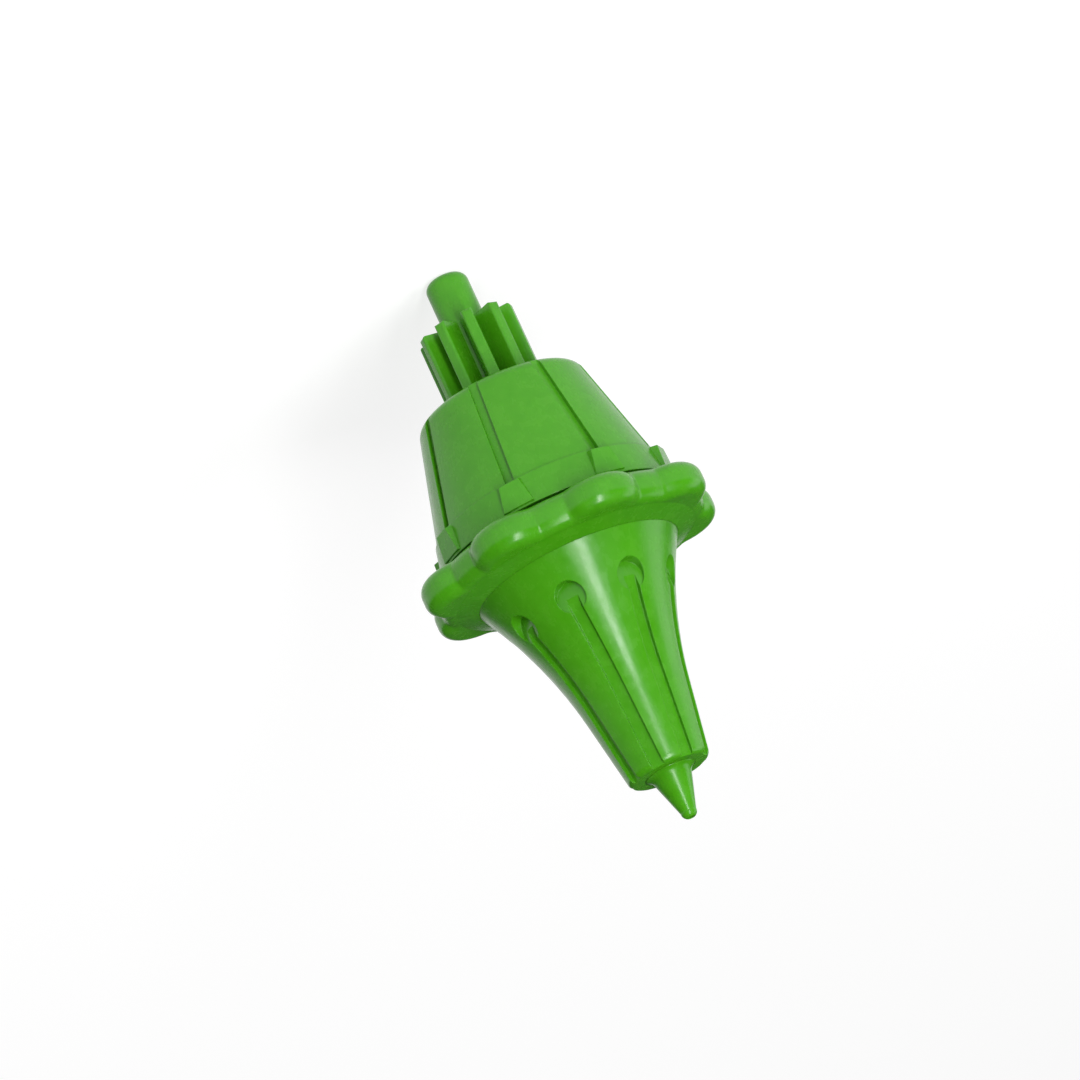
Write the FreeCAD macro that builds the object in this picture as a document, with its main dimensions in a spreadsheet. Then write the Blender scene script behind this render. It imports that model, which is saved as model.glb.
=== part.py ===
import FreeCAD, Part
import math
import os
import re
import Sketcher

# Take-apart drip emitter, standing on its inlet spigot with the drip tip up.
# Heights in the sheet run up the axis from the spigot's free end, in millimetres. Every piece is then
# lowered by the spigot's length, so that the origin is where the spigot meets the ends of its fins.

SIZES = {
    # inlet half: spigot, fins and cup
    "spigot_radius": 1.62,
    "spigot_length": 4.05,
    "spigot_round": 0.75,
    "inlet_bore_radius": 0.8,
    "stem_radius": 1.8,
    "fin_count": 10,
    "fin_reach": 3.7,
    "fin_width": 0.85,
    "fin_root_radius": 1.1,
    "fin_foot": 0.3,
    "fin_round": 0.2,
    "fin_turn": -2,
    "shoulder_height": 10.1,
    "shoulder_radius": 6.3,
    "shoulder_round": 1.0,
    "rim_height": 21.25,
    "rim_radius": 9.2,
    "rim_band_step": 0.12,
    "floor_height": 11.4,
    "filter_chamber_radius": 5.3,
    "bore_start": 13.4,
    "bore_radius": 6.2,
    "counterbore_start": 19.1,
    "counterbore_radius": 7.1,
    "rib_count": 8,
    "rib_turn": 12,
    "groove_width": 0.72,
    "groove_depth": 0.4,
    "lug_height": 2.35,
    "lug_foot_width": 2.9,
    "lug_top_width": 1.9,
    "lug_reach": 9.25,
    "lug_draft": 9,
    "lug_start": 7.9,
    # two-start screw thread that joins the halves
    "thread_lead": 3.0,
    "thread_crest_radius": 6.5,
    "thread_crest_half_width": 0.25,
    "thread_root_half_width": 0.5,
    "thread_turns": 0.95,
    "thread_start": 15.8,
    "thread_radial_gap": 0.15,
    "thread_side_gap": 0.14,
    "thread_runout": 0.8,
    "overlap": 0.1,
    "cut_clear": 1.0,
    # outlet half: plug, hub and fluted cone
    "plug_start": 13.6,
    "plug_radius": 6.05,
    "land_start": 19.25,
    "land_radius": 7.0,
    "ring_groove_start": 19.65,
    "ring_groove_width": 1.3,
    "ring_groove_radius": 5.85,
    "flange_start": 21.35,
    "flange_end": 22.2,
    "flange_radius": 8.3,
    "hub_radius": 7.72,
    "cone_start": 24.6,
    "cone_knee": 35.0,
    "cone_knee_radius": 4.02,
    "cone_flare": 31.5,
    "cone_end": 40.75,
    "cone_end_radius": 3.06,
    "cone_end_round": 0.45,
    "core_seat": 21.0,
    "core_bore_radius": 4.67,
    "duct_wide_radius": 3.9,
    "duct_narrow_radius": 1.1,
    "nozzle_seat": 38.6,
    "nozzle_stem_radius": 1.45,
    "flute_count": 8,
    "flute_width": 0.95,
    "flute_depth": 0.33,
    "recess_height": 27.7,
    "recess_radius": 1.1,
    "recess_floor": 5.74,
    # grip collar
    "collar_start": 21.5,
    "collar_edge": 24.1,
    "collar_end": 24.6,
    "collar_radius": 10.3,
    "lobe_count": 8,
    "lobe_turn": 23,
    "lobe_radius": 3.2,
    "lobe_centre": 8.35,
    "lobe_crease": 0.4,
    "grip_round_low": 1.1,
    "grip_round_high": 1.0,
    "push_fit_slack": 0.02,
    # drip nozzle
    "nozzle_base_radius": 1.95,
    "nozzle_waist": 41.3,
    "nozzle_waist_radius": 1.42,
    "nozzle_base_flare": 0.75,
    "nozzle_tip_radius": 0.6,
    "nozzle_round_start": 43.9,
    "nozzle_end": 44.4,
    "drip_bore_radius": 0.3,
    # seal ring, flow core, diaphragm, retainer and filter
    "seal_radius": 6.47,
    "seal_section": 0.56,
    "core_radius": 4.65,
    "core_start": 16.4,
    "core_groove_depth": 0.55,
    "core_groove_width": 0.5,
    "core_groove_pitch": 1.05,
    "core_groove_count": 4,
    "core_slot_width": 0.8,
    "seat_height": 0.3,
    "seat_radius": 1.5,
    "seat_bore_radius": 0.6,
    "diaphragm_start": 14.75,
    "diaphragm_thickness": 0.9,
    "diaphragm_radius": 4.45,
    "retainer_end": 14.73,
    "retainer_window_radius": 3.7,
    "retainer_bar_width": 0.7,
    "retainer_bar_count": 4,
    "filter_end": 12.9,
    "filter_radius": 5.28,
    "filter_wall": 0.6,
    "filter_border": 0.5,
    "filter_slot_width": 0.4,
    "filter_slot_pitch": 0.85,
    "filter_slot_count": 9,
}

# Lengths, and volumes, closer than this count as equal.
NEAR = 0.01

# The thread's two starts lie on opposite sides of the axis.
THREAD_STARTS = (("first", ""), ("second", "-"))

volumes = {}
doc = FreeCAD.newDocument("drip_emitter")
sheet = doc.addObject("Spreadsheet::Sheet", "Sizes")
for row, (alias, number) in enumerate(SIZES.items(), start=1):
    sheet.set(f"A{row}", alias)
    sheet.set(f"B{row}", str(number))
    sheet.setAlias(f"B{row}", alias)
doc.recompute()


def on_sheet(text):
    """An expression in sheet names, with each name sent to its cell."""
    return re.sub(r"[a-z][a-z_]+", r"Sizes.\g<0>", text)


def size(text):
    """The number that an expression in sheet names has now."""
    return float(sheet.evalExpression(on_sheet(text)))


def bind(thing, path, text):
    thing.setExpression(path, on_sheet(text))


def origin_plane(body, role):
    for feature in body.Origin.OriginFeatures:
        if feature.Role == role:
            return feature
    raise RuntimeError(f"no {role} in {body.Label}")


def new_body(name, turn="0"):
    """A body lowered to the common origin and turned about the axis."""
    body = doc.addObject("PartDesign::Body", name)
    body.Label = name
    bind(body, ".Placement.Base.z", "-spigot_length")
    body.setExpression(".Placement.Rotation.Angle", on_sheet(turn) + " * 1 deg")
    return body


def new_sketch(body, name, role):
    sketch = body.newObject("Sketcher::SketchObject", name)
    sketch.AttachmentSupport = [(origin_plane(body, role), "")]
    sketch.MapMode = "FlatFace"
    return sketch


def pin_point(sketch, geometry, corner, across, up):
    """Ties one point of a sketch to the sheet, across and up from the sketch's origin."""
    for kind, text, axis in (("DistanceX", across, -2), ("DistanceY", up, -1)):
        if text == "0":
            sketch.addConstraint(Sketcher.Constraint("PointOnObject", geometry, corner, axis))
            continue
        index = sketch.addConstraint(Sketcher.Constraint(kind, -1, 1, geometry, corner, size(text)))
        bind(sketch, f"Constraints[{index}]", text)


def outline(body, name, role, corners, bends=None):
    """A closed sketch through corners, each (across, up) in sheet names.

    bends maps a side's number to its radius, for a side that is an arc: positive bulges to the left.
    """
    bends = bends or {}
    sketch = new_sketch(body, name, role)
    points = [FreeCAD.Vector(size(across), size(up), 0) for across, up in corners]
    starts = []
    ends = []
    for side, first in enumerate(points):
        second = points[(side + 1) % len(points)]
        if side in bends:
            radius = size(bends[side])
            chord = second - first
            left = FreeCAD.Vector(-chord.y, chord.x, 0).normalize() * math.copysign(1, radius)
            rise = abs(radius) - math.sqrt(radius ** 2 - chord.Length ** 2 / 4)
            middle = (first + second) / 2 + left * rise
            sketch.addGeometry(Part.Arc(first, middle, second), False)
            index = sketch.addConstraint(Sketcher.Constraint("Radius", side, abs(radius)))
            bind(sketch, f"Constraints[{index}]", bends[side].lstrip("-"))
            flipped = (sketch.getPoint(side, 1) - first).Length > NEAR
            starts.append(2 if flipped else 1)
            ends.append(1 if flipped else 2)
        else:
            sketch.addGeometry(Part.LineSegment(first, second), False)
            starts.append(1)
            ends.append(2)
    for side in range(len(points)):
        after = (side + 1) % len(points)
        sketch.addConstraint(Sketcher.Constraint("Coincident", side, ends[side], after, starts[after]))
    for side, (across, up) in enumerate(corners):
        pin_point(sketch, side, starts[side], across, up)
    return sketch


def circle(body, name, role, across, up, radius):
    sketch = new_sketch(body, name, role)
    centre = FreeCAD.Vector(size(across), size(up), 0)
    sketch.addGeometry(Part.Circle(centre, FreeCAD.Vector(0, 0, 1), size(radius)), False)
    pin_point(sketch, 0, 3, across, up)
    index = sketch.addConstraint(Sketcher.Constraint("Radius", 0, size(radius)))
    bind(sketch, f"Constraints[{index}]", radius)
    return sketch


def turned(body, name, sketch, kind="PartDesign::Revolution"):
    """A full turn of an XZ outline about the axis."""
    feature = body.newObject(kind, name)
    feature.Profile = sketch
    feature.ReferenceAxis = (sketch, ["V_Axis"])
    feature.Angle = 360
    return finished(body, feature)


def raised(body, name, sketch, length, midplane=False):
    feature = body.newObject("PartDesign::Pad", name)
    feature.Profile = sketch
    bind(feature, "Length", length)
    feature.Midplane = midplane
    return finished(body, feature)


def sunk(body, name, sketch, length, midplane=False, reverse=False):
    feature = body.newObject("PartDesign::Pocket", name)
    feature.Profile = sketch
    bind(feature, "Length", length)
    feature.Midplane = midplane
    feature.Reversed = reverse
    return finished(body, feature)


def coiled(body, name, sketch, turns, kind):
    """A helix of the thread's lead, from an XZ profile."""
    feature = body.newObject(kind, name)
    feature.Profile = sketch
    feature.ReferenceAxis = (sketch, ["V_Axis"])
    feature.Mode = "pitch-turns-angle"
    bind(feature, "Pitch", "thread_lead")
    bind(feature, "Turns", turns)
    return finished(body, feature)


def repeated(body, name, feature, count):
    pattern = body.newObject("PartDesign::PolarPattern", name)
    pattern.Originals = [feature]
    pattern.Axis = (origin_plane(body, "Z_Axis"), [""])
    pattern.Angle = 360
    bind(pattern, "Occurrences", count)
    return finished(body, pattern)


def rounded(body, name, radius, wanted):
    """A fillet on the tip's edges that wanted() picks."""
    base = body.Tip
    names = [f"Edge{number}" for number, edge in enumerate(base.Shape.Edges, start=1) if wanted(edge)]
    if not names:
        raise RuntimeError(f"{name} finds no edge")
    feature = body.newObject("PartDesign::Fillet", name)
    feature.Base = (base, names)
    bind(feature, "Radius", radius)
    return finished(body, feature)


def finished(body, feature):
    """Makes a feature the body's tip, and stops if it failed or left the volume as it was."""
    body.Tip = feature
    doc.recompute()
    shape = feature.Shape
    if "Invalid" in feature.State or "Error" in feature.State or shape.isNull() or not shape.isValid():
        raise RuntimeError(f"{feature.Label} failed: {feature.State}")
    change = shape.Volume - volumes.get(body.Label, 0)
    if abs(change) < NEAR:
        raise RuntimeError(f"{feature.Label} changes nothing")
    volumes[body.Label] = shape.Volume
    return feature


def on_face(edge, reach, count, turn="0"):
    """Whether a straight edge lies on one of count flat faces at that reach from the axis, evenly spaced."""
    if not isinstance(edge.Curve, Part.Line):
        return False
    middle = edge.valueAt((edge.FirstParameter + edge.LastParameter) / 2)
    step = 360 / size(count)
    bearing = math.degrees(math.atan2(middle.y, middle.x)) - size(turn)
    facing = math.radians(size(turn) + step * round(bearing / step))
    direction = FreeCAD.Vector(math.cos(facing), math.sin(facing), 0)
    return all(abs(corner.Point.dot(direction) - size(reach)) < NEAR for corner in edge.Vertexes)


def ring_edge(radius, height):
    """Picks the full circles of one radius at one height."""
    def wanted(edge):
        if not isinstance(edge.Curve, Part.Circle):
            return False
        centre = edge.Curve.Center
        return abs(edge.Curve.Radius - size(radius)) < NEAR and abs(centre.z - size(height)) < NEAR
    return wanted


def inlet_cap():
    body = new_body("inlet_cap", "rib_turn")
    wall_slope = "(rim_radius - shoulder_radius) / (rim_height - shoulder_height)"
    band_start = "(rim_height - lug_height)"
    band_foot = f"(shoulder_radius + ({band_start} - shoulder_height) * {wall_slope})"
    section = outline(body, "cap_section", "XZ_Plane", [
        ("inlet_bore_radius", "0"),
        ("spigot_radius", "0"),
        ("spigot_radius", "spigot_length"),
        ("stem_radius", "spigot_length"),
        ("stem_radius", "shoulder_height"),
        ("shoulder_radius", "shoulder_height"),
        (band_foot, band_start),
        (f"{band_foot} + rim_band_step", band_start),
        ("rim_radius", "rim_height"),
        ("counterbore_radius", "rim_height"),
        ("counterbore_radius", "counterbore_start"),
        ("bore_radius", "counterbore_start"),
        ("bore_radius", "bore_start"),
        ("filter_chamber_radius", "bore_start"),
        ("filter_chamber_radius", "floor_height"),
        ("inlet_bore_radius", "floor_height"),
    ])
    turned(body, "cap_shell", section)
    rounded(body, "spigot_nose", "spigot_round", ring_edge("spigot_radius", "0"))
    rounded(body, "shoulder_edge", "shoulder_round", ring_edge("shoulder_radius", "shoulder_height"))

    groove = outline(body, "wall_groove_section", "XZ_Plane", [
        ("shoulder_radius - groove_depth", "shoulder_height - groove_depth"),
        ("rim_radius", "shoulder_height - groove_depth"),
        ("rim_radius", band_start),
        (f"{band_foot} - groove_depth", band_start),
    ])
    cut = sunk(body, "wall_groove", groove, "groove_width", midplane=True)
    repeated(body, "wall_grooves", cut, "rib_count")

    lug = outline(body, "lug_face", "YZ_Plane", [
        ("lug_foot_width / 2", "rim_height"),
        ("lug_top_width / 2", band_start),
        ("-lug_top_width / 2", band_start),
        ("-lug_foot_width / 2", "rim_height"),
    ])
    bind(lug, ".AttachmentOffset.Base.z", "lug_start")
    bump = raised(body, "lug", lug, "lug_reach - lug_start")
    bind(bump, "TaperAngle", "-lug_draft")
    repeated(body, "lugs", bump, "rib_count")

    fin = outline(body, "fin_section", "XY_Plane", [
        ("fin_root_radius", "-fin_width / 2"),
        ("fin_reach", "-fin_width / 2"),
        ("fin_reach", "fin_width / 2"),
        ("fin_root_radius", "fin_width / 2"),
    ])
    bind(fin, ".AttachmentOffset.Base.z", "spigot_length")
    fin.setExpression(".AttachmentOffset.Rotation.Angle", on_sheet("fin_turn") + " * 1 deg")
    blade = raised(body, "fin", fin, "shoulder_height - spigot_length + fin_foot")
    repeated(body, "fins", blade, "fin_count")

    def fin_edge(edge):
        below_shoulder = edge.BoundBox.ZMin < size("shoulder_height") - NEAR
        return below_shoulder and on_face(edge, "fin_reach", "fin_count", "fin_turn")

    rounded(body, "fin_edges", "fin_round", fin_edge)

    flank = "(thread_root_half_width - thread_crest_half_width) / (thread_crest_radius - plug_radius)"
    root = f"thread_crest_half_width + thread_side_gap - thread_radial_gap * {flank}"
    mouth = f"thread_root_half_width + thread_side_gap + overlap * {flank}"
    start = "thread_start - thread_lead / 2"
    for name, side in THREAD_STARTS:
        profile = outline(body, f"cap_thread_{name}_profile", "XZ_Plane", [
            (f"{side}(plug_radius - overlap)", f"{start} - ({mouth})"),
            (f"{side}(thread_crest_radius + thread_radial_gap)", f"{start} - ({root})"),
            (f"{side}(thread_crest_radius + thread_radial_gap)", f"{start} + {root}"),
            (f"{side}(plug_radius - overlap)", f"{start} + {mouth}"),
        ])
        turns = "(counterbore_start - thread_start) / thread_lead + thread_runout"
        coiled(body, f"cap_thread_{name}", profile, turns, "PartDesign::SubtractiveHelix")
    return body


def outlet_body():
    body = new_body("outlet_body", "rib_turn")
    section = outline(body, "outlet_section", "XZ_Plane", [
        ("core_bore_radius", "plug_start"),
        ("plug_radius", "plug_start"),
        ("plug_radius", "land_start"),
        ("land_radius", "land_start"),
        ("land_radius", "ring_groove_start"),
        ("ring_groove_radius", "ring_groove_start"),
        ("ring_groove_radius", "ring_groove_start + ring_groove_width"),
        ("land_radius", "ring_groove_start + ring_groove_width"),
        ("land_radius", "flange_start"),
        ("flange_radius", "flange_start"),
        ("flange_radius", "flange_end"),
        ("hub_radius", "flange_end"),
        ("hub_radius", "cone_start"),
        ("cone_knee_radius", "cone_knee"),
        ("cone_end_radius", "cone_end"),
        ("nozzle_stem_radius + push_fit_slack", "cone_end"),
        ("nozzle_stem_radius + push_fit_slack", "nozzle_seat"),
        ("duct_narrow_radius", "nozzle_seat"),
        ("duct_wide_radius", "core_seat"),
        ("core_bore_radius", "core_seat"),
    ], {12: "cone_flare"})
    turned(body, "outlet_shell", section)
    rounded(body, "cone_end_edge", "cone_end_round", ring_edge("cone_end_radius", "cone_end"))

    recess = circle(body, "flute_recess_face", "YZ_Plane", "0", "recess_height", "recess_radius")
    bind(recess, ".AttachmentOffset.Base.z", "recess_floor")
    cut = sunk(body, "flute_recess", recess, "flange_radius - recess_floor", reverse=True)
    repeated(body, "flute_recesses", cut, "flute_count")

    flute = outline(body, "flute_section", "XZ_Plane", [
        ("recess_floor", "recess_height"),
        ("hub_radius", "recess_height"),
        ("hub_radius", "cone_end + groove_depth"),
        ("cone_end_radius - flute_depth", "cone_end + groove_depth"),
        ("cone_end_radius - flute_depth", "cone_end"),
        ("cone_knee_radius - flute_depth", "cone_knee"),
    ], {5: "-(cone_flare + flute_depth)"})
    cut = sunk(body, "flute", flute, "flute_width", midplane=True)
    repeated(body, "flutes", cut, "flute_count")

    for name, side in THREAD_STARTS:
        profile = outline(body, f"plug_thread_{name}_profile", "XZ_Plane", [
            (f"{side}(plug_radius - overlap)", "thread_start - thread_root_half_width"),
            (f"{side}plug_radius", "thread_start - thread_root_half_width"),
            (f"{side}thread_crest_radius", "thread_start - thread_crest_half_width"),
            (f"{side}thread_crest_radius", "thread_start + thread_crest_half_width"),
            (f"{side}plug_radius", "thread_start + thread_root_half_width"),
            (f"{side}(plug_radius - overlap)", "thread_start + thread_root_half_width"),
        ])
        coiled(body, f"plug_thread_{name}", profile, "thread_turns", "PartDesign::AdditiveHelix")
    return body


def grip_collar():
    body = new_body("grip_collar", "lobe_turn")
    section = outline(body, "collar_section", "XZ_Plane", [
        ("0", "collar_start"),
        ("collar_radius", "collar_start"),
        ("collar_radius", "collar_edge"),
        ("0", "collar_edge"),
    ])
    turned(body, "collar_disc", section)
    lobe = circle(body, "lobe_section", "XY_Plane", "lobe_centre", "0", "lobe_radius")
    bind(lobe, ".AttachmentOffset.Base.z", "collar_start")
    knob = raised(body, "lobe", lobe, "collar_edge - collar_start")
    repeated(body, "lobes", knob, "lobe_count")

    def crease(edge):
        box = edge.BoundBox
        return isinstance(edge.Curve, Part.Line) and box.ZLength > NEAR and box.XLength + box.YLength < NEAR

    rounded(body, "lobe_creases", "lobe_crease", crease)

    def flat_edge(edge):
        return edge.BoundBox.ZLength < NEAR

    def low_edge(edge):
        return flat_edge(edge) and abs(edge.BoundBox.ZMin - size("collar_start")) < NEAR

    def high_edge(edge):
        return flat_edge(edge) and abs(edge.BoundBox.ZMin - size("collar_edge")) < NEAR

    rounded(body, "grip_edges_low", "grip_round_low", low_edge)
    rounded(body, "grip_edges_high", "grip_round_high", high_edge)
    boss_section = outline(body, "boss_section", "XZ_Plane", [
        ("0", "collar_start + grip_round_low"),
        ("collar_radius - grip_round_high", "collar_start + grip_round_low"),
        ("collar_radius - grip_round_high", "collar_edge"),
        ("hub_radius", "collar_end"),
        ("0", "collar_end"),
    ])
    turned(body, "boss", boss_section)
    bore = outline(body, "collar_bore_section", "XZ_Plane", [
        ("0", "collar_start - cut_clear"),
        ("flange_radius + push_fit_slack", "collar_start - cut_clear"),
        ("flange_radius + push_fit_slack", "flange_end"),
        ("hub_radius + push_fit_slack", "flange_end"),
        ("hub_radius + push_fit_slack", "collar_end + cut_clear"),
        ("0", "collar_end + cut_clear"),
    ])
    turned(body, "collar_bore", bore, "PartDesign::Groove")
    return body


def drip_nozzle():
    body = new_body("drip_nozzle")
    section = outline(body, "nozzle_section", "XZ_Plane", [
        ("drip_bore_radius", "nozzle_seat"),
        ("nozzle_stem_radius", "nozzle_seat"),
        ("nozzle_stem_radius", "cone_end"),
        ("nozzle_base_radius", "cone_end"),
        ("nozzle_waist_radius", "nozzle_waist"),
        ("nozzle_tip_radius", "nozzle_round_start"),
        ("drip_bore_radius", "nozzle_end"),
    ], {3: "nozzle_base_flare", 5: "-(nozzle_end - nozzle_round_start)"})
    turned(body, "nozzle_shell", section)
    return body


def seal_ring():
    ring = doc.addObject("Part::Torus", "seal_ring")
    ring.Label = "seal_ring"
    bind(ring, "Radius1", "seal_radius")
    bind(ring, "Radius2", "seal_section")
    bind(ring, ".Placement.Base.z", "ring_groove_start + ring_groove_width / 2 - spigot_length")
    return ring


def flow_core():
    body = new_body("flow_core", "rib_turn")
    corners = [
        ("seat_bore_radius", "core_start - seat_height"),
        ("seat_radius", "core_start - seat_height"),
        ("seat_radius", "core_start"),
        ("core_radius", "core_start"),
    ]
    for turn in range(int(size("core_groove_count"))):
        low = f"core_start + {turn} * core_groove_pitch + core_groove_width"
        corners += [
            ("core_radius", low),
            ("core_radius - core_groove_depth", low),
            ("core_radius - core_groove_depth", low + " + core_groove_width"),
            ("core_radius", low + " + core_groove_width"),
        ]
    corners += [("core_radius", "core_seat"), ("seat_bore_radius", "core_seat")]
    section = outline(body, "core_section", "XZ_Plane", corners)
    turned(body, "core_blank", section)

    for turn in range(int(size("core_groove_count")) + 1):
        side = "-" if turn % 2 else ""
        low = f"core_start + {turn} * core_groove_pitch"
        inner = f"{side}(core_radius - core_groove_depth - overlap)"
        outer = f"{side}(core_radius + core_groove_depth)"
        foot = f"{low} - core_groove_width / 2"
        top = f"{low} + core_groove_width + core_groove_width / 2"
        passage = outline(body, f"passage_face_{turn}", "XZ_Plane", [
            (inner, foot),
            (outer, foot),
            (outer, top),
            (inner, top),
        ])
        sunk(body, f"passage_{turn}", passage, "core_slot_width", midplane=True)
    return body


def diaphragm():
    disc = doc.addObject("Part::Cylinder", "diaphragm")
    disc.Label = "diaphragm"
    bind(disc, "Radius", "diaphragm_radius")
    bind(disc, "Height", "diaphragm_thickness")
    bind(disc, ".Placement.Base.z", "diaphragm_start - spigot_length")
    return disc


def diaphragm_retainer():
    body = new_body("diaphragm_retainer", "rib_turn")
    section = outline(body, "retainer_section", "XZ_Plane", [
        ("retainer_window_radius", "plug_start"),
        ("core_radius", "plug_start"),
        ("core_radius", "retainer_end"),
        ("retainer_window_radius", "retainer_end"),
    ])
    turned(body, "retainer_ring", section)
    bar = outline(body, "bar_section", "XY_Plane", [
        ("0", "-retainer_bar_width / 2"),
        ("retainer_window_radius + overlap", "-retainer_bar_width / 2"),
        ("retainer_window_radius + overlap", "retainer_bar_width / 2"),
        ("0", "retainer_bar_width / 2"),
    ])
    bind(bar, ".AttachmentOffset.Base.z", "plug_start")
    strip = raised(body, "bar", bar, "retainer_end - plug_start")
    repeated(body, "bars", strip, "retainer_bar_count")
    return body


def inlet_filter():
    body = new_body("inlet_filter", "rib_turn")
    section = outline(body, "filter_section", "XZ_Plane", [
        ("0", "filter_end - filter_wall"),
        ("filter_radius - filter_wall", "filter_end - filter_wall"),
        ("filter_radius - filter_wall", "floor_height"),
        ("filter_radius", "floor_height"),
        ("filter_radius", "filter_end"),
        ("0", "filter_end"),
    ])
    turned(body, "filter_cup", section)
    count = int(size("filter_slot_count"))
    for place in range(count):
        offset = f"({place} - {(count - 1) / 2}) * filter_slot_pitch"
        far_side = abs(size(offset)) + size("filter_slot_width / 2")
        reach = math.sqrt(size("filter_radius - filter_wall - filter_border") ** 2 - far_side ** 2)
        slot = outline(body, f"slot_face_{place}", "XY_Plane", [
            (f"-{reach}", f"{offset} - filter_slot_width / 2"),
            (f"{reach}", f"{offset} - filter_slot_width / 2"),
            (f"{reach}", f"{offset} + filter_slot_width / 2"),
            (f"-{reach}", f"{offset} + filter_slot_width / 2"),
        ])
        bind(slot, ".AttachmentOffset.Base.z", "filter_end")
        sunk(body, f"slot_{place}", slot, "filter_wall + overlap")
    return body


PIECES = [
    inlet_cap(),
    inlet_filter(),
    seal_ring(),
    outlet_body(),
    grip_collar(),
    drip_nozzle(),
    flow_core(),
    diaphragm(),
    diaphragm_retainer(),
]
doc.recompute()

for thing in doc.Objects:
    if "Invalid" in thing.State or "Error" in thing.State:
        raise RuntimeError(f"{thing.Label} failed: {thing.State}")
for piece in PIECES:
    if piece.Shape.isNull() or not piece.Shape.isValid() or len(piece.Shape.Solids) != 1:
        raise RuntimeError(f"{piece.Label} is not one valid solid")

os.makedirs("parts", exist_ok=True)
for piece in PIECES:
    piece.Shape.exportStep(f"parts/{piece.Label}.step")
    box = piece.Shape.BoundBox
    print(f"{piece.Label:20s} volume {piece.Shape.Volume:8.1f}  z {box.ZMin:6.2f} to {box.ZMax:6.2f}")
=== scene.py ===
import math

import bpy
from mathutils import Matrix, Vector


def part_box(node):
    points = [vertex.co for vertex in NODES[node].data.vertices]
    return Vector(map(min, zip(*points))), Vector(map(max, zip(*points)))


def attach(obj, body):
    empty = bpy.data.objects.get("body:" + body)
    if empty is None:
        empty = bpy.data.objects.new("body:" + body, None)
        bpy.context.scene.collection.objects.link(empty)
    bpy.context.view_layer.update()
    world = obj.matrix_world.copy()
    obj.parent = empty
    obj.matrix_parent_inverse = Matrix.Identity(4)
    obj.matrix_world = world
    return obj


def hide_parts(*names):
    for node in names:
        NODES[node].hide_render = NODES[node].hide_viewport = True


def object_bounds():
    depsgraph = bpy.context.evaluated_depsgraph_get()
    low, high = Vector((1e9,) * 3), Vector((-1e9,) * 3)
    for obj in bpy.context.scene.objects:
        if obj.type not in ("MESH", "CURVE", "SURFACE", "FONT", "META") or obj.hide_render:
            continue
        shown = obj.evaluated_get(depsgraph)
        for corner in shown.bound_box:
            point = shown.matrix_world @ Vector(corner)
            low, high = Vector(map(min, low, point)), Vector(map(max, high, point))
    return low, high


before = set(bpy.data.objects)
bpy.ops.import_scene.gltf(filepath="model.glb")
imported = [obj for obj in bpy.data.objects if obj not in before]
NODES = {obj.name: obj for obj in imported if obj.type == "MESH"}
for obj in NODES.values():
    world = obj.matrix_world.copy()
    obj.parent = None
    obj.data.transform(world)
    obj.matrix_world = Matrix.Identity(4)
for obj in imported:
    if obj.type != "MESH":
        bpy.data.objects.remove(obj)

# A take-apart drip emitter in glossy green plastic, on a white studio floor.
# The frame's pieces are painted as they come. The silicone disc and the seal ring are drawn in finer detail.

MM = 0.001


def plain_bounds():
    """The lowest and highest corners of everything shown, as plain lists."""
    return [list(corner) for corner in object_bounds()]


cad_box = plain_bounds()


# ---------------------------------------------------------------- materials

EDGE_ROUND = 0.1 * MM
ROUGHNESS_SPREAD = 0.05
BEVEL_SAMPLES = 6
CREVICE_SAMPLES = 8
MIX_SHARE = 0
MIX_FIRST = 6
MIX_SECOND = 7
MIX_RESULT = 2


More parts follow.
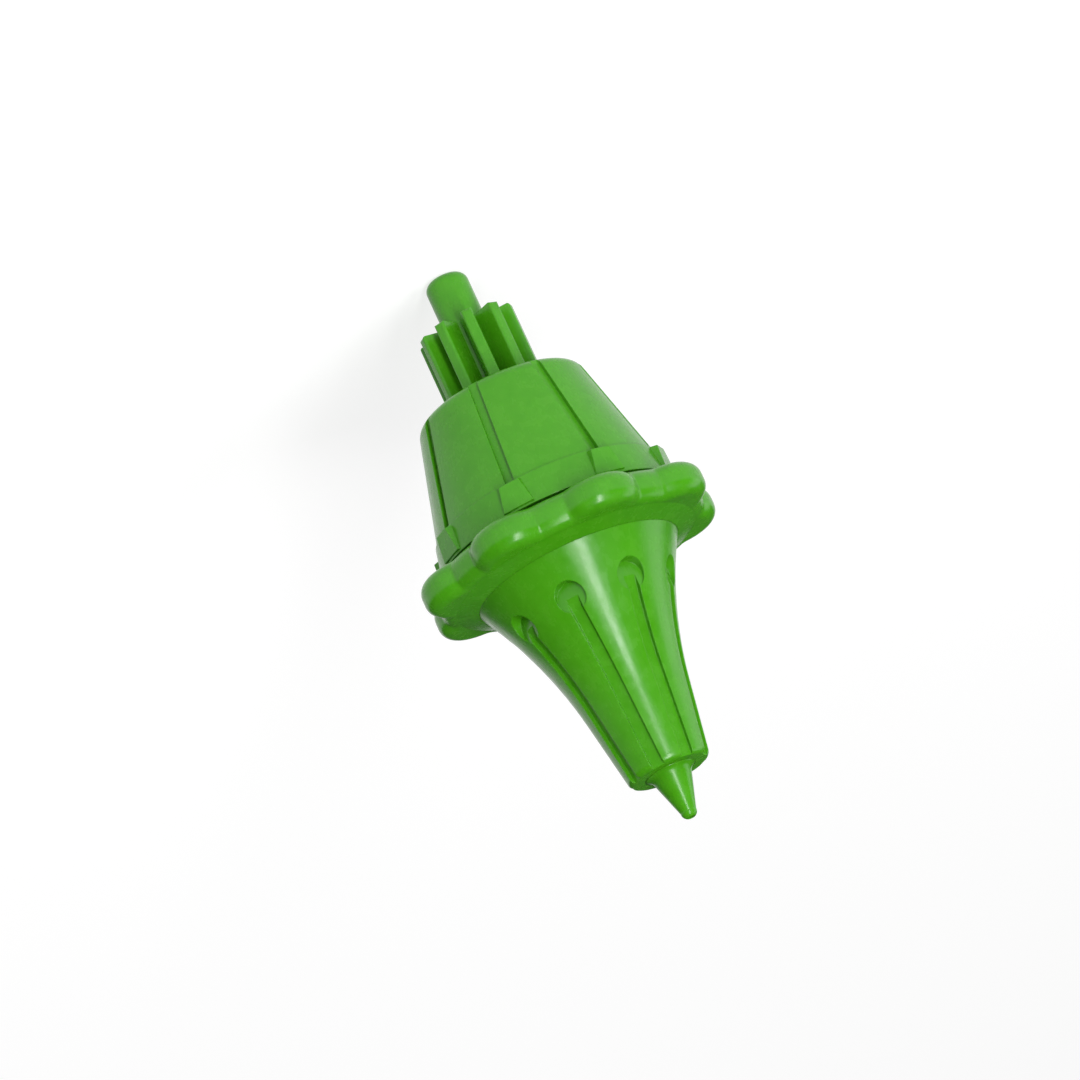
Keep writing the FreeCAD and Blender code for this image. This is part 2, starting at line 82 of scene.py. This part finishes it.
class Graph:
    """A material's node graph, with short calls for the nodes that the materials share."""

    def __init__(self, name):
        self.material = bpy.data.materials.new(name)
        self.material.use_nodes = True
        self.tree = self.material.node_tree
        self.shader = self.tree.nodes["Principled BSDF"]
        self.place = self.tree.nodes.new("ShaderNodeTexCoord").outputs["Object"]

    def link(self, source, target):
        self.tree.links.new(source, target)

    def node(self, kind, **settings):
        made = self.tree.nodes.new(kind)
        for key, value in settings.items():
            setattr(made, key, value)
        return made

    def stretched(self, scale):
        """The place on the piece, scaled along each axis. A small scale draws noise out that way."""
        mapping = self.node("ShaderNodeMapping")
        mapping.inputs["Scale"].default_value = scale
        self.link(self.place, mapping.inputs["Vector"])
        return mapping.outputs["Vector"]

    def noise(self, size, detail, place=None):
        """Noise whose blotches are about size metres across."""
        noise = self.node("ShaderNodeTexNoise")
        noise.inputs["Scale"].default_value = 1.0 / size
        noise.inputs["Detail"].default_value = detail
        self.link(place or self.place, noise.inputs["Vector"])
        return noise.outputs["Fac"]

    def remap(self, value, low, high, from_low=0.3, from_high=0.7):
        """Takes a value from one range to another. The usual source range is where noise mostly lies."""
        ranged = self.node("ShaderNodeMapRange")
        ranged.inputs["From Min"].default_value = from_low
        ranged.inputs["From Max"].default_value = from_high
        ranged.inputs["To Min"].default_value = low
        ranged.inputs["To Max"].default_value = high
        self.link(value, ranged.inputs["Value"])
        return ranged.outputs["Result"]

    def math(self, operation, first, second):
        """Each of the two values is a number or a socket."""
        node = self.node("ShaderNodeMath", operation=operation)
        for socket, value in zip(node.inputs, (first, second)):
            if isinstance(value, (int, float)):
                socket.default_value = value
            else:
                self.link(value, socket)
        return node.outputs["Value"]

    def mix(self, share, first, second):
        """A colour between two, each of them a colour or a socket. The share is the second one's.

        The node has a set of sockets for each kind of value, so its colour sockets go by number.
        """
        mix = self.node("ShaderNodeMix", data_type="RGBA")
        sockets = [mix.inputs[number] for number in (MIX_SHARE, MIX_FIRST, MIX_SECOND)]
        for socket, value in zip(sockets, (share, first, second)):
            if isinstance(value, (int, float)):
                socket.default_value = value
            elif isinstance(value, tuple):
                socket.default_value = (*value, 1.0)
            else:
                self.link(value, socket)
        return mix.outputs[MIX_RESULT]

    def crevice(self, reach):
        """1 in the open, towards 0 deep in a corner closer than reach."""
        shade = self.node("ShaderNodeAmbientOcclusion", samples=CREVICE_SAMPLES)
        shade.inputs["Distance"].default_value = reach
        return shade.outputs["AO"]

    def rounded_normal(self, radius):
        """The surface direction with sharp edges softened, as a real mould leaves them."""
        bevel = self.node("ShaderNodeBevel", samples=BEVEL_SAMPLES)
        bevel.inputs["Radius"].default_value = radius
        return bevel.outputs["Normal"]

    def edge(self, softened):
        """1 on flat faces, lower on edges."""
        product = self.node("ShaderNodeVectorMath", operation="DOT_PRODUCT")
        self.link(softened, product.inputs[0])
        self.link(self.node("ShaderNodeNewGeometry").outputs["True Normal"], product.inputs[1])
        return product.outputs["Value"]

    def bump(self, height, strength, distance, below=None):
        """A bump from a height socket, laid over the surface direction below it."""
        bump = self.node("ShaderNodeBump")
        bump.inputs["Strength"].default_value = strength
        bump.inputs["Distance"].default_value = distance
        self.link(height, bump.inputs["Height"])
        if below:
            self.link(below, bump.inputs["Normal"])
        return bump.outputs["Normal"]


def moulded_plastic(name, colour, deep, pale, roughness, gloss):
    """Injection-moulded plastic: faint flow bands, a satin mould texture, scuffs and painted shade in the
    corners.
    """
    graph = Graph(name)
    bands = graph.noise(3.0 * MM, 4.0, graph.stretched((1.0, 1.0, 0.35)))
    mottle = graph.noise(0.9 * MM, 5.0)
    tint = graph.mix(graph.remap(bands, 0.35, 1.0), deep, colour)
    tint = graph.mix(graph.remap(mottle, 0.0, 0.35), tint, pale)
    # Painted shade: the colour turns towards the deep green in corners and creases, where shade falls.
    painted_corner_shade = graph.remap(graph.crevice(0.9 * MM), 0.6, 0.0, from_low=0.1, from_high=0.7)
    tint = graph.mix(painted_corner_shade, tint, deep)
    softened = graph.rounded_normal(EDGE_ROUND)
    edges = graph.remap(graph.edge(softened), 0.3, 0.0, from_low=0.7, from_high=0.95)
    worn = graph.math("MULTIPLY", edges, graph.remap(mottle, 0.2, 1.0))
    tint = graph.mix(worn, tint, pale)
    graph.link(tint, graph.shader.inputs["Base Color"])

    scuffs = graph.noise(0.35 * MM, 3.0, graph.stretched((1.0, 1.0, 0.12)))
    satin = graph.remap(mottle, roughness - ROUGHNESS_SPREAD, roughness + ROUGHNESS_SPREAD)
    dull = graph.remap(scuffs, 0.0, 0.06, from_low=0.5, from_high=0.75)
    graph.link(graph.math("ADD", satin, dull), graph.shader.inputs["Roughness"])

    waves = graph.bump(graph.noise(5.0 * MM, 0.0), strength=0.3, distance=0.05 * MM, below=softened)
    grain = graph.bump(graph.noise(0.22 * MM, 1.0), strength=0.06, distance=0.006 * MM, below=waves)
    scratches = graph.bump(scuffs, strength=0.04, distance=0.006 * MM, below=grain)
    graph.link(scratches, graph.shader.inputs["Normal"])

    graph.shader.inputs["Specular IOR Level"].default_value = gloss
    graph.shader.inputs["IOR"].default_value = 1.5
    graph.shader.inputs["Subsurface Weight"].default_value = 0.12
    graph.shader.inputs["Subsurface Radius"].default_value = (0.4, 1.0, 0.25)
    graph.shader.inputs["Subsurface Scale"].default_value = 0.6 * MM
    return graph.material


def silicone(name, colour, deep):
    """Soft, cloudy silicone that lets light into it."""
    graph = Graph(name)
    cloud = graph.remap(graph.noise(1.2 * MM, 4.0), 0.0, 1.0)
    graph.link(graph.mix(cloud, deep, colour), graph.shader.inputs["Base Color"])
    graph.link(graph.remap(graph.noise(0.5 * MM, 4.0), 0.4, 0.55), graph.shader.inputs["Roughness"])
    grain = graph.bump(graph.noise(0.1 * MM, 2.0), strength=0.2, distance=0.01 * MM)
    graph.link(grain, graph.shader.inputs["Normal"])
    graph.shader.inputs["Subsurface Weight"].default_value = 0.4
    graph.shader.inputs["Subsurface Radius"].default_value = (1.0, 0.5, 0.25)
    graph.shader.inputs["Subsurface Scale"].default_value = 0.8 * MM
    return graph.material


def seal_rubber(name, colour, dusty):
    """Satin rubber with patches of pale dust."""
    graph = Graph(name)
    dust = graph.remap(graph.noise(0.4 * MM, 6.0), 0.0, 0.35, from_low=0.5, from_high=0.75)
    graph.link(graph.mix(dust, colour, dusty), graph.shader.inputs["Base Color"])
    graph.link(graph.remap(graph.noise(0.8 * MM, 4.0), 0.38, 0.55), graph.shader.inputs["Roughness"])
    grain = graph.bump(graph.noise(0.08 * MM, 2.0), strength=0.25, distance=0.01 * MM)
    graph.link(grain, graph.shader.inputs["Normal"])
    return graph.material


def swap(piece, node, body, material):
    """Shows a detailed piece in place of a plain CAD one."""
    piece.data.materials.append(material)
    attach(piece, body)
    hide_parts(node)


def paint(node, material):
    """Gives a CAD piece its material."""
    mesh = NODES[node].data
    mesh.materials.clear()
    mesh.materials.append(material)


# ---------------------------------------------------------------- silicone disc and seal

# RIM_ROUND is a share of the disc's half thickness, and GROOVE_PLACES are shares of its radius.
STEPS = 128
SECTION_STEPS = 32
RIM_STEPS = 6
RIM_ROUND = 0.6
DIMPLE_RADIUS = 0.25 * MM
DIMPLE_EDGE = 0.4 * MM
DIMPLE_DEPTH = 0.08 * MM
GROOVE_PLACES = (0.4, 0.62)
GROOVE_HALF_WIDTH = 0.12 * MM
GROOVE_DEPTH = 0.05 * MM
FLASH = 0.025 * MM


def lathed(name, profile, closed=False):
    """A mesh from (radius, height) points turned round the axis, in STEPS equal steps.

    A point on the axis is made once, so the faces that meet there are triangles.
    """
    rows = []
    points = []
    for radius, height in profile:
        row = []
        for step in range(1 if radius == 0 else STEPS):
            turn = 2 * math.pi * step / STEPS
            row.append(len(points))
            points.append((radius * math.cos(turn), radius * math.sin(turn), height))
        rows.append(row)
    faces = []
    for first, second in zip(rows, rows[1:] + (rows[:1] if closed else [])):
        for step in range(STEPS):
            ahead = (step + 1) % STEPS
            corners = [first[step % len(first)], first[ahead % len(first)],
                       second[ahead % len(second)], second[step % len(second)]]
            faces.append([corner for place, corner in enumerate(corners) if corner not in corners[:place]])
    mesh = bpy.data.meshes.new(name)
    mesh.from_pydata(points, [], faces)
    for polygon in mesh.polygons:
        polygon.use_smooth = True
    piece = bpy.data.objects.new(name, mesh)
    bpy.context.scene.collection.objects.link(piece)
    return piece


def silicone_disc():
    """A flat disc with round edges. Both faces have shallow moulding rings and a small dimple at the gate."""
    low_corner, high_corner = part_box("diaphragm")
    radius = (high_corner.x - low_corner.x) / 2
    half = (high_corner.z - low_corner.z) / 2
    edge = half * RIM_ROUND
    face = [(0.0, half - DIMPLE_DEPTH), (DIMPLE_RADIUS, half - DIMPLE_DEPTH), (DIMPLE_EDGE, half)]
    for place in GROOVE_PLACES:
        at = radius * place
        face += [(at - GROOVE_HALF_WIDTH, half), (at, half - GROOVE_DEPTH), (at + GROOVE_HALF_WIDTH, half)]
    rim = []
    for step in range(RIM_STEPS + 1):
        turn = math.pi / 2 * step / RIM_STEPS
        rim.append((radius - edge + edge * math.sin(turn), half - edge + edge * math.cos(turn)))
    upper = face + rim
    profile = upper + [(at, -height) for at, height in reversed(upper)]
    disc = lathed("silicone_disc", profile)
    disc.location.z = (low_corner.z + high_corner.z) / 2
    return disc


def seal_section(radius, half_thickness):
    """The ring's round section, with a hair of mould flash on its inner and outer sides."""
    section = []
    for step in range(SECTION_STEPS):
        turn = 2 * math.pi * step / SECTION_STEPS
        on_parting_line = step % (SECTION_STEPS // 2) == 0
        reach = half_thickness if on_parting_line else half_thickness - FLASH
        section.append((radius + reach * math.cos(turn), reach * math.sin(turn)))
    return section


def seal():
    """An O-ring the size of the CAD seal."""
    low_corner, high_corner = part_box("seal_ring")
    half_thickness = (high_corner.z - low_corner.z) / 2
    radius = (high_corner.x - low_corner.x) / 2 - half_thickness
    ring = lathed("seal_o_ring", seal_section(radius, half_thickness), closed=True)
    ring.location.z = (low_corner.z + high_corner.z) / 2
    return ring


def dress():
    """Gives every piece its material, and shows the detailed disc and seal."""
    green = moulded_plastic("moulded_green", colour=(0.047, 0.255, 0.004), deep=(0.036, 0.215, 0.002),
                            pale=(0.07, 0.3, 0.012), roughness=0.25, gloss=0.34)
    white = moulded_plastic("moulded_natural", colour=(0.72, 0.71, 0.66), deep=(0.55, 0.54, 0.48),
                            pale=(0.8, 0.79, 0.75), roughness=0.42, gloss=0.4)
    black = moulded_plastic("moulded_black", colour=(0.03, 0.03, 0.032), deep=(0.015, 0.015, 0.015),
                            pale=(0.06, 0.06, 0.06), roughness=0.5, gloss=0.4)
    amber = silicone("silicone_amber", colour=(0.62, 0.25, 0.07), deep=(0.5, 0.16, 0.04))
    rubber = seal_rubber("seal_black", colour=(0.012, 0.012, 0.013), dusty=(0.05, 0.05, 0.05))

    for node in ("inlet_cap", "outlet_body", "grip_collar", "drip_nozzle"):
        paint(node, green)
    for node in ("flow_core", "diaphragm_retainer"):
        paint(node, white)
    paint("inlet_filter", black)
    swap(silicone_disc(), "diaphragm", "diaphragm_disc", amber)
    swap(seal(), "seal_ring", "seal", rubber)


# ---------------------------------------------------------------- stage

WHITE = (1.0, 1.0, 1.0, 1.0)
WORLD_LIGHT = 0.06
FLOOR_SIZE = 4.0
FLOOR_SHADE = 0.3
FLOOR_GLOW = 0.75


def floor_material():
    """Matt white that glows a little, so that the floor stays pale and only takes a faint shadow."""
    material = bpy.data.materials.new("floor_white")
    material.use_nodes = True
    shader = material.node_tree.nodes["Principled BSDF"]
    shader.inputs["Base Color"].default_value = (FLOOR_SHADE, FLOOR_SHADE, FLOOR_SHADE, 1.0)
    shader.inputs["Roughness"].default_value = 0.9
    shader.inputs["Emission Color"].default_value = WHITE
    shader.inputs["Emission Strength"].default_value = FLOOR_GLOW
    return material


def lay_floor(height):
    bpy.ops.mesh.primitive_plane_add(size=FLOOR_SIZE, location=(0, 0, height))
    floor = bpy.context.object
    floor.name = "floor"
    floor.data.materials.append(floor_material())


def direction(bearing, elevation):
    """A unit vector at a bearing from -Y towards +X and an elevation, in degrees."""
    flat = math.cos(math.radians(elevation))
    turn = math.radians(bearing)
    return Vector((flat * math.sin(turn), -flat * math.cos(turn), math.sin(math.radians(elevation))))


def softbox(name, centre, bearing, elevation, reach, width, height, brightness, mirrored=True):
    """A soft area light facing the centre from reach metres away.

    Its brightness is that of its own surface, whatever its size. Mirrored says whether gloss shows it.
    """
    data = bpy.data.lights.new(name, "AREA")
    data.shape = "RECTANGLE"
    data.size = width
    data.size_y = height
    data.energy = brightness * math.pi * width * height
    light = bpy.data.objects.new(name, data)
    towards = direction(bearing, elevation)
    light.location = centre + towards * reach
    light.rotation_euler = towards.to_track_quat("Z", "Y").to_euler()
    light.visible_glossy = mirrored
    bpy.context.scene.collection.objects.link(light)


def light_up(centre):
    """A narrow bright strip that draws the streak down the cone, and three soft fills."""
    world = bpy.data.worlds.new("studio")
    world.use_nodes = True
    background = world.node_tree.nodes["Background"]
    background.inputs["Color"].default_value = WHITE
    background.inputs["Strength"].default_value = WORLD_LIGHT
    bpy.context.scene.world = world
    softbox("key_strip", centre, bearing=-15, elevation=32, reach=0.5, width=0.08, height=0.5,
            brightness=23.0)
    softbox("left_box", centre, bearing=-50, elevation=38, reach=0.6, width=0.3, height=0.4, brightness=3.4,
            mirrored=False)
    softbox("side_fill", centre, bearing=-110, elevation=20, reach=0.6, width=0.3, height=0.5, brightness=1.8)
    softbox("back_fill", centre, bearing=160, elevation=40, reach=0.6, width=0.5, height=0.4, brightness=1.6,
            mirrored=False)


# ---------------------------------------------------------------- camera

# Angles are in degrees, and CAMERA_ROLL is counted from upside down. The view is VIEW_WIDTH across where the
# emitter is. The emitter's middle lies a little right of the view's middle and a little below it.
CAMERA_ELEVATION = 17.3
CAMERA_ROLL = 24.65
CAMERA_DISTANCE = 0.46
VIEW_WIDTH = 77.33 * MM
RIGHT_OF_MIDDLE = 1.84 * MM
BELOW_MIDDLE = 0.315 * MM
SENSOR_WIDTH = 36.0
NEAREST = 0.01
FARTHEST = 10.0


def place_camera(centre):
    """The camera looks a little down on the emitter, rolled so that the tip points down to the right."""
    tilt = math.radians(CAMERA_ELEVATION)
    roll = math.radians(CAMERA_ROLL)
    level_right = Vector((1, 0, 0))
    level_up = Vector((0, math.sin(tilt), math.cos(tilt)))
    right = math.sin(roll) * level_up - math.cos(roll) * level_right
    up = -math.cos(roll) * level_up - math.sin(roll) * level_right
    back = right.cross(up)
    aim = centre - right * RIGHT_OF_MIDDLE + up * BELOW_MIDDLE

    data = bpy.data.cameras.new("camera")
    data.sensor_width = SENSOR_WIDTH
    data.lens = SENSOR_WIDTH * CAMERA_DISTANCE / VIEW_WIDTH
    data.clip_start = NEAREST
    data.clip_end = FARTHEST
    camera = bpy.data.objects.new("camera", data)
    turned = Matrix((right, up, back)).transposed().to_4x4()
    camera.matrix_world = Matrix.Translation(aim + back * CAMERA_DISTANCE) @ turned
    bpy.context.scene.collection.objects.link(camera)
    bpy.context.scene.camera = camera


dress()
low, high = (Vector(corner) for corner in cad_box)
middle = (low + high) / 2
lay_floor(low.z)
light_up(middle)
place_camera(middle)
bpy.context.scene.view_settings.view_transform = "Standard"
